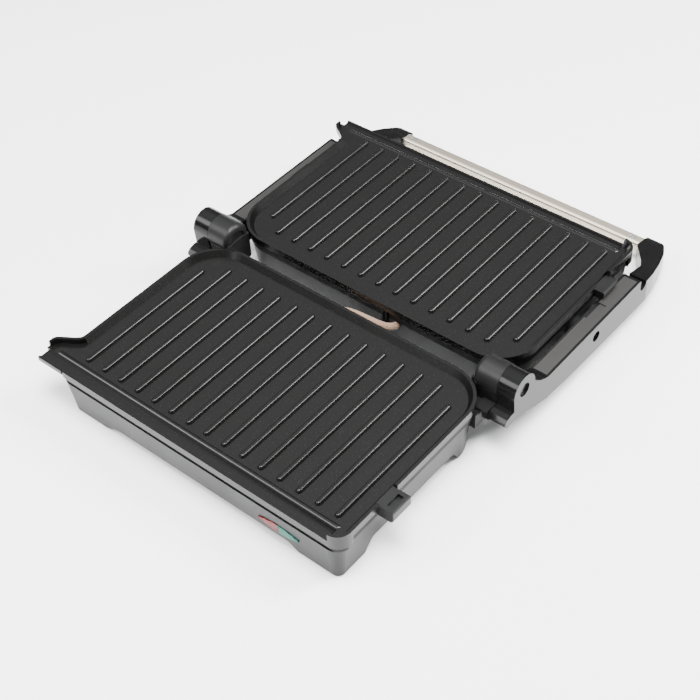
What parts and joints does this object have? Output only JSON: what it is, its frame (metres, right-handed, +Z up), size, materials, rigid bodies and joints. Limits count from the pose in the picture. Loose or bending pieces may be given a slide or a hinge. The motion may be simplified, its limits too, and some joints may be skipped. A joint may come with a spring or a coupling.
{
  "type": "contact grill",
  "caption": "Contact grill that opens flat, with ribbed plates, drip spouts, a floating head on hinged arms and a bar handle",
  "frame": {"origin": "centre of the opened grill's footprint, at table height", "axes": "X along the ribs' row from the spout side to the latch side, Y from the base to the handle, Z up"},
  "size_m": [0.328, 0.434, 0.0675],
  "materials": {
    "housing": "dark moulded plastic with a satin gloss",
    "cover": "matt black moulding",
    "rubber": "soft black rubber",
    "carrier": "matt black heat-resistant plastic",
    "coating": "dark non-stick coating with a fine speckle",
    "element": "heat-tinted steel tube",
    "tray": "bright pressed sheet",
    "thermostat": "plated steel",
    "ceramic": "unglazed ceramic",
    "lamp_red": "clear tinted lens",
    "lamp_green": "clear tinted lens",
    "board": "printed circuit board",
    "knuckle": "fine-textured black plastic",
    "latch": "black plastic",
    "arm": "polished black plastic",
    "ledge": "fine-textured black plastic",
    "bar": "brushed stainless bar",
    "screws": "plated steel",
    "braid": "woven glass-fibre sleeve"
  },
  "bodies": {
    "base": {"base_housing": "housing", "base_bottom_cover": "cover", "foot_pads": "rubber", "lower_carrier": "carrier", "lower_grill_plate": "coating", "lower_heating_element": "element", "lower_reflector": "tray", "lower_thermostat": "thermostat", "thermal_fuse": "thermostat", "terminal_block": "ceramic", "lamp_lens_red": "lamp_red", "lamp_lens_green": "lamp_green", "lamp_board": "board", "cord_inlet": "carrier", "base_screws": "screws", "lower_carrier_screws": "screws", "hinge_knuckle_left": "knuckle", "hinge_knuckle_right": "knuckle", "lower_latch_springs": "screws", "braided_sleeve": "braid"},
    "lower_latch": {"lower_latch": "latch"},
    "arms": {"left_arm": "arm", "right_arm": "arm", "left_arm_cover": "ledge", "right_arm_cover": "ledge", "handle_bar": "bar", "handle_screws": "screws", "hinge_pins": "screws", "pivot_pins": "screws"},
    "head": {"upper_carrier": "carrier", "lid_cover": "housing", "upper_grill_plate": "coating", "upper_heating_element": "element", "upper_reflector": "tray", "upper_thermostat": "thermostat", "cable_guard": "carrier", "upper_carrier_screws": "screws", "upper_latch_springs": "screws"},
    "upper_latch": {"upper_latch": "latch"}
  },
  "joints": [
    {"name": "lid_hinge", "type": "hinge", "parent": "base", "child": "arms", "pos_m": [0, -0.025, 0.054], "axis": [1, 0, 0], "range_deg": [0, 178.5], "deforming": ["braided_sleeve"]},
    {"name": "head_tilt", "type": "hinge", "parent": "arms", "child": "head", "pos_m": [0, 0.076, 0.03], "axis": [-1, 0, 0], "range_deg": [-3, 0]},
    {"name": "lower_latch_slide", "type": "slide", "parent": "base", "child": "lower_latch", "axis": [1, 0, 0], "range_m": [0, 0.004], "stiffness_N_per_m": 500},
    {"name": "upper_latch_slide", "type": "slide", "parent": "head", "child": "upper_latch", "axis": [1, 0, 0], "range_m": [0, 0.003], "stiffness_N_per_m": 500}
  ]
}
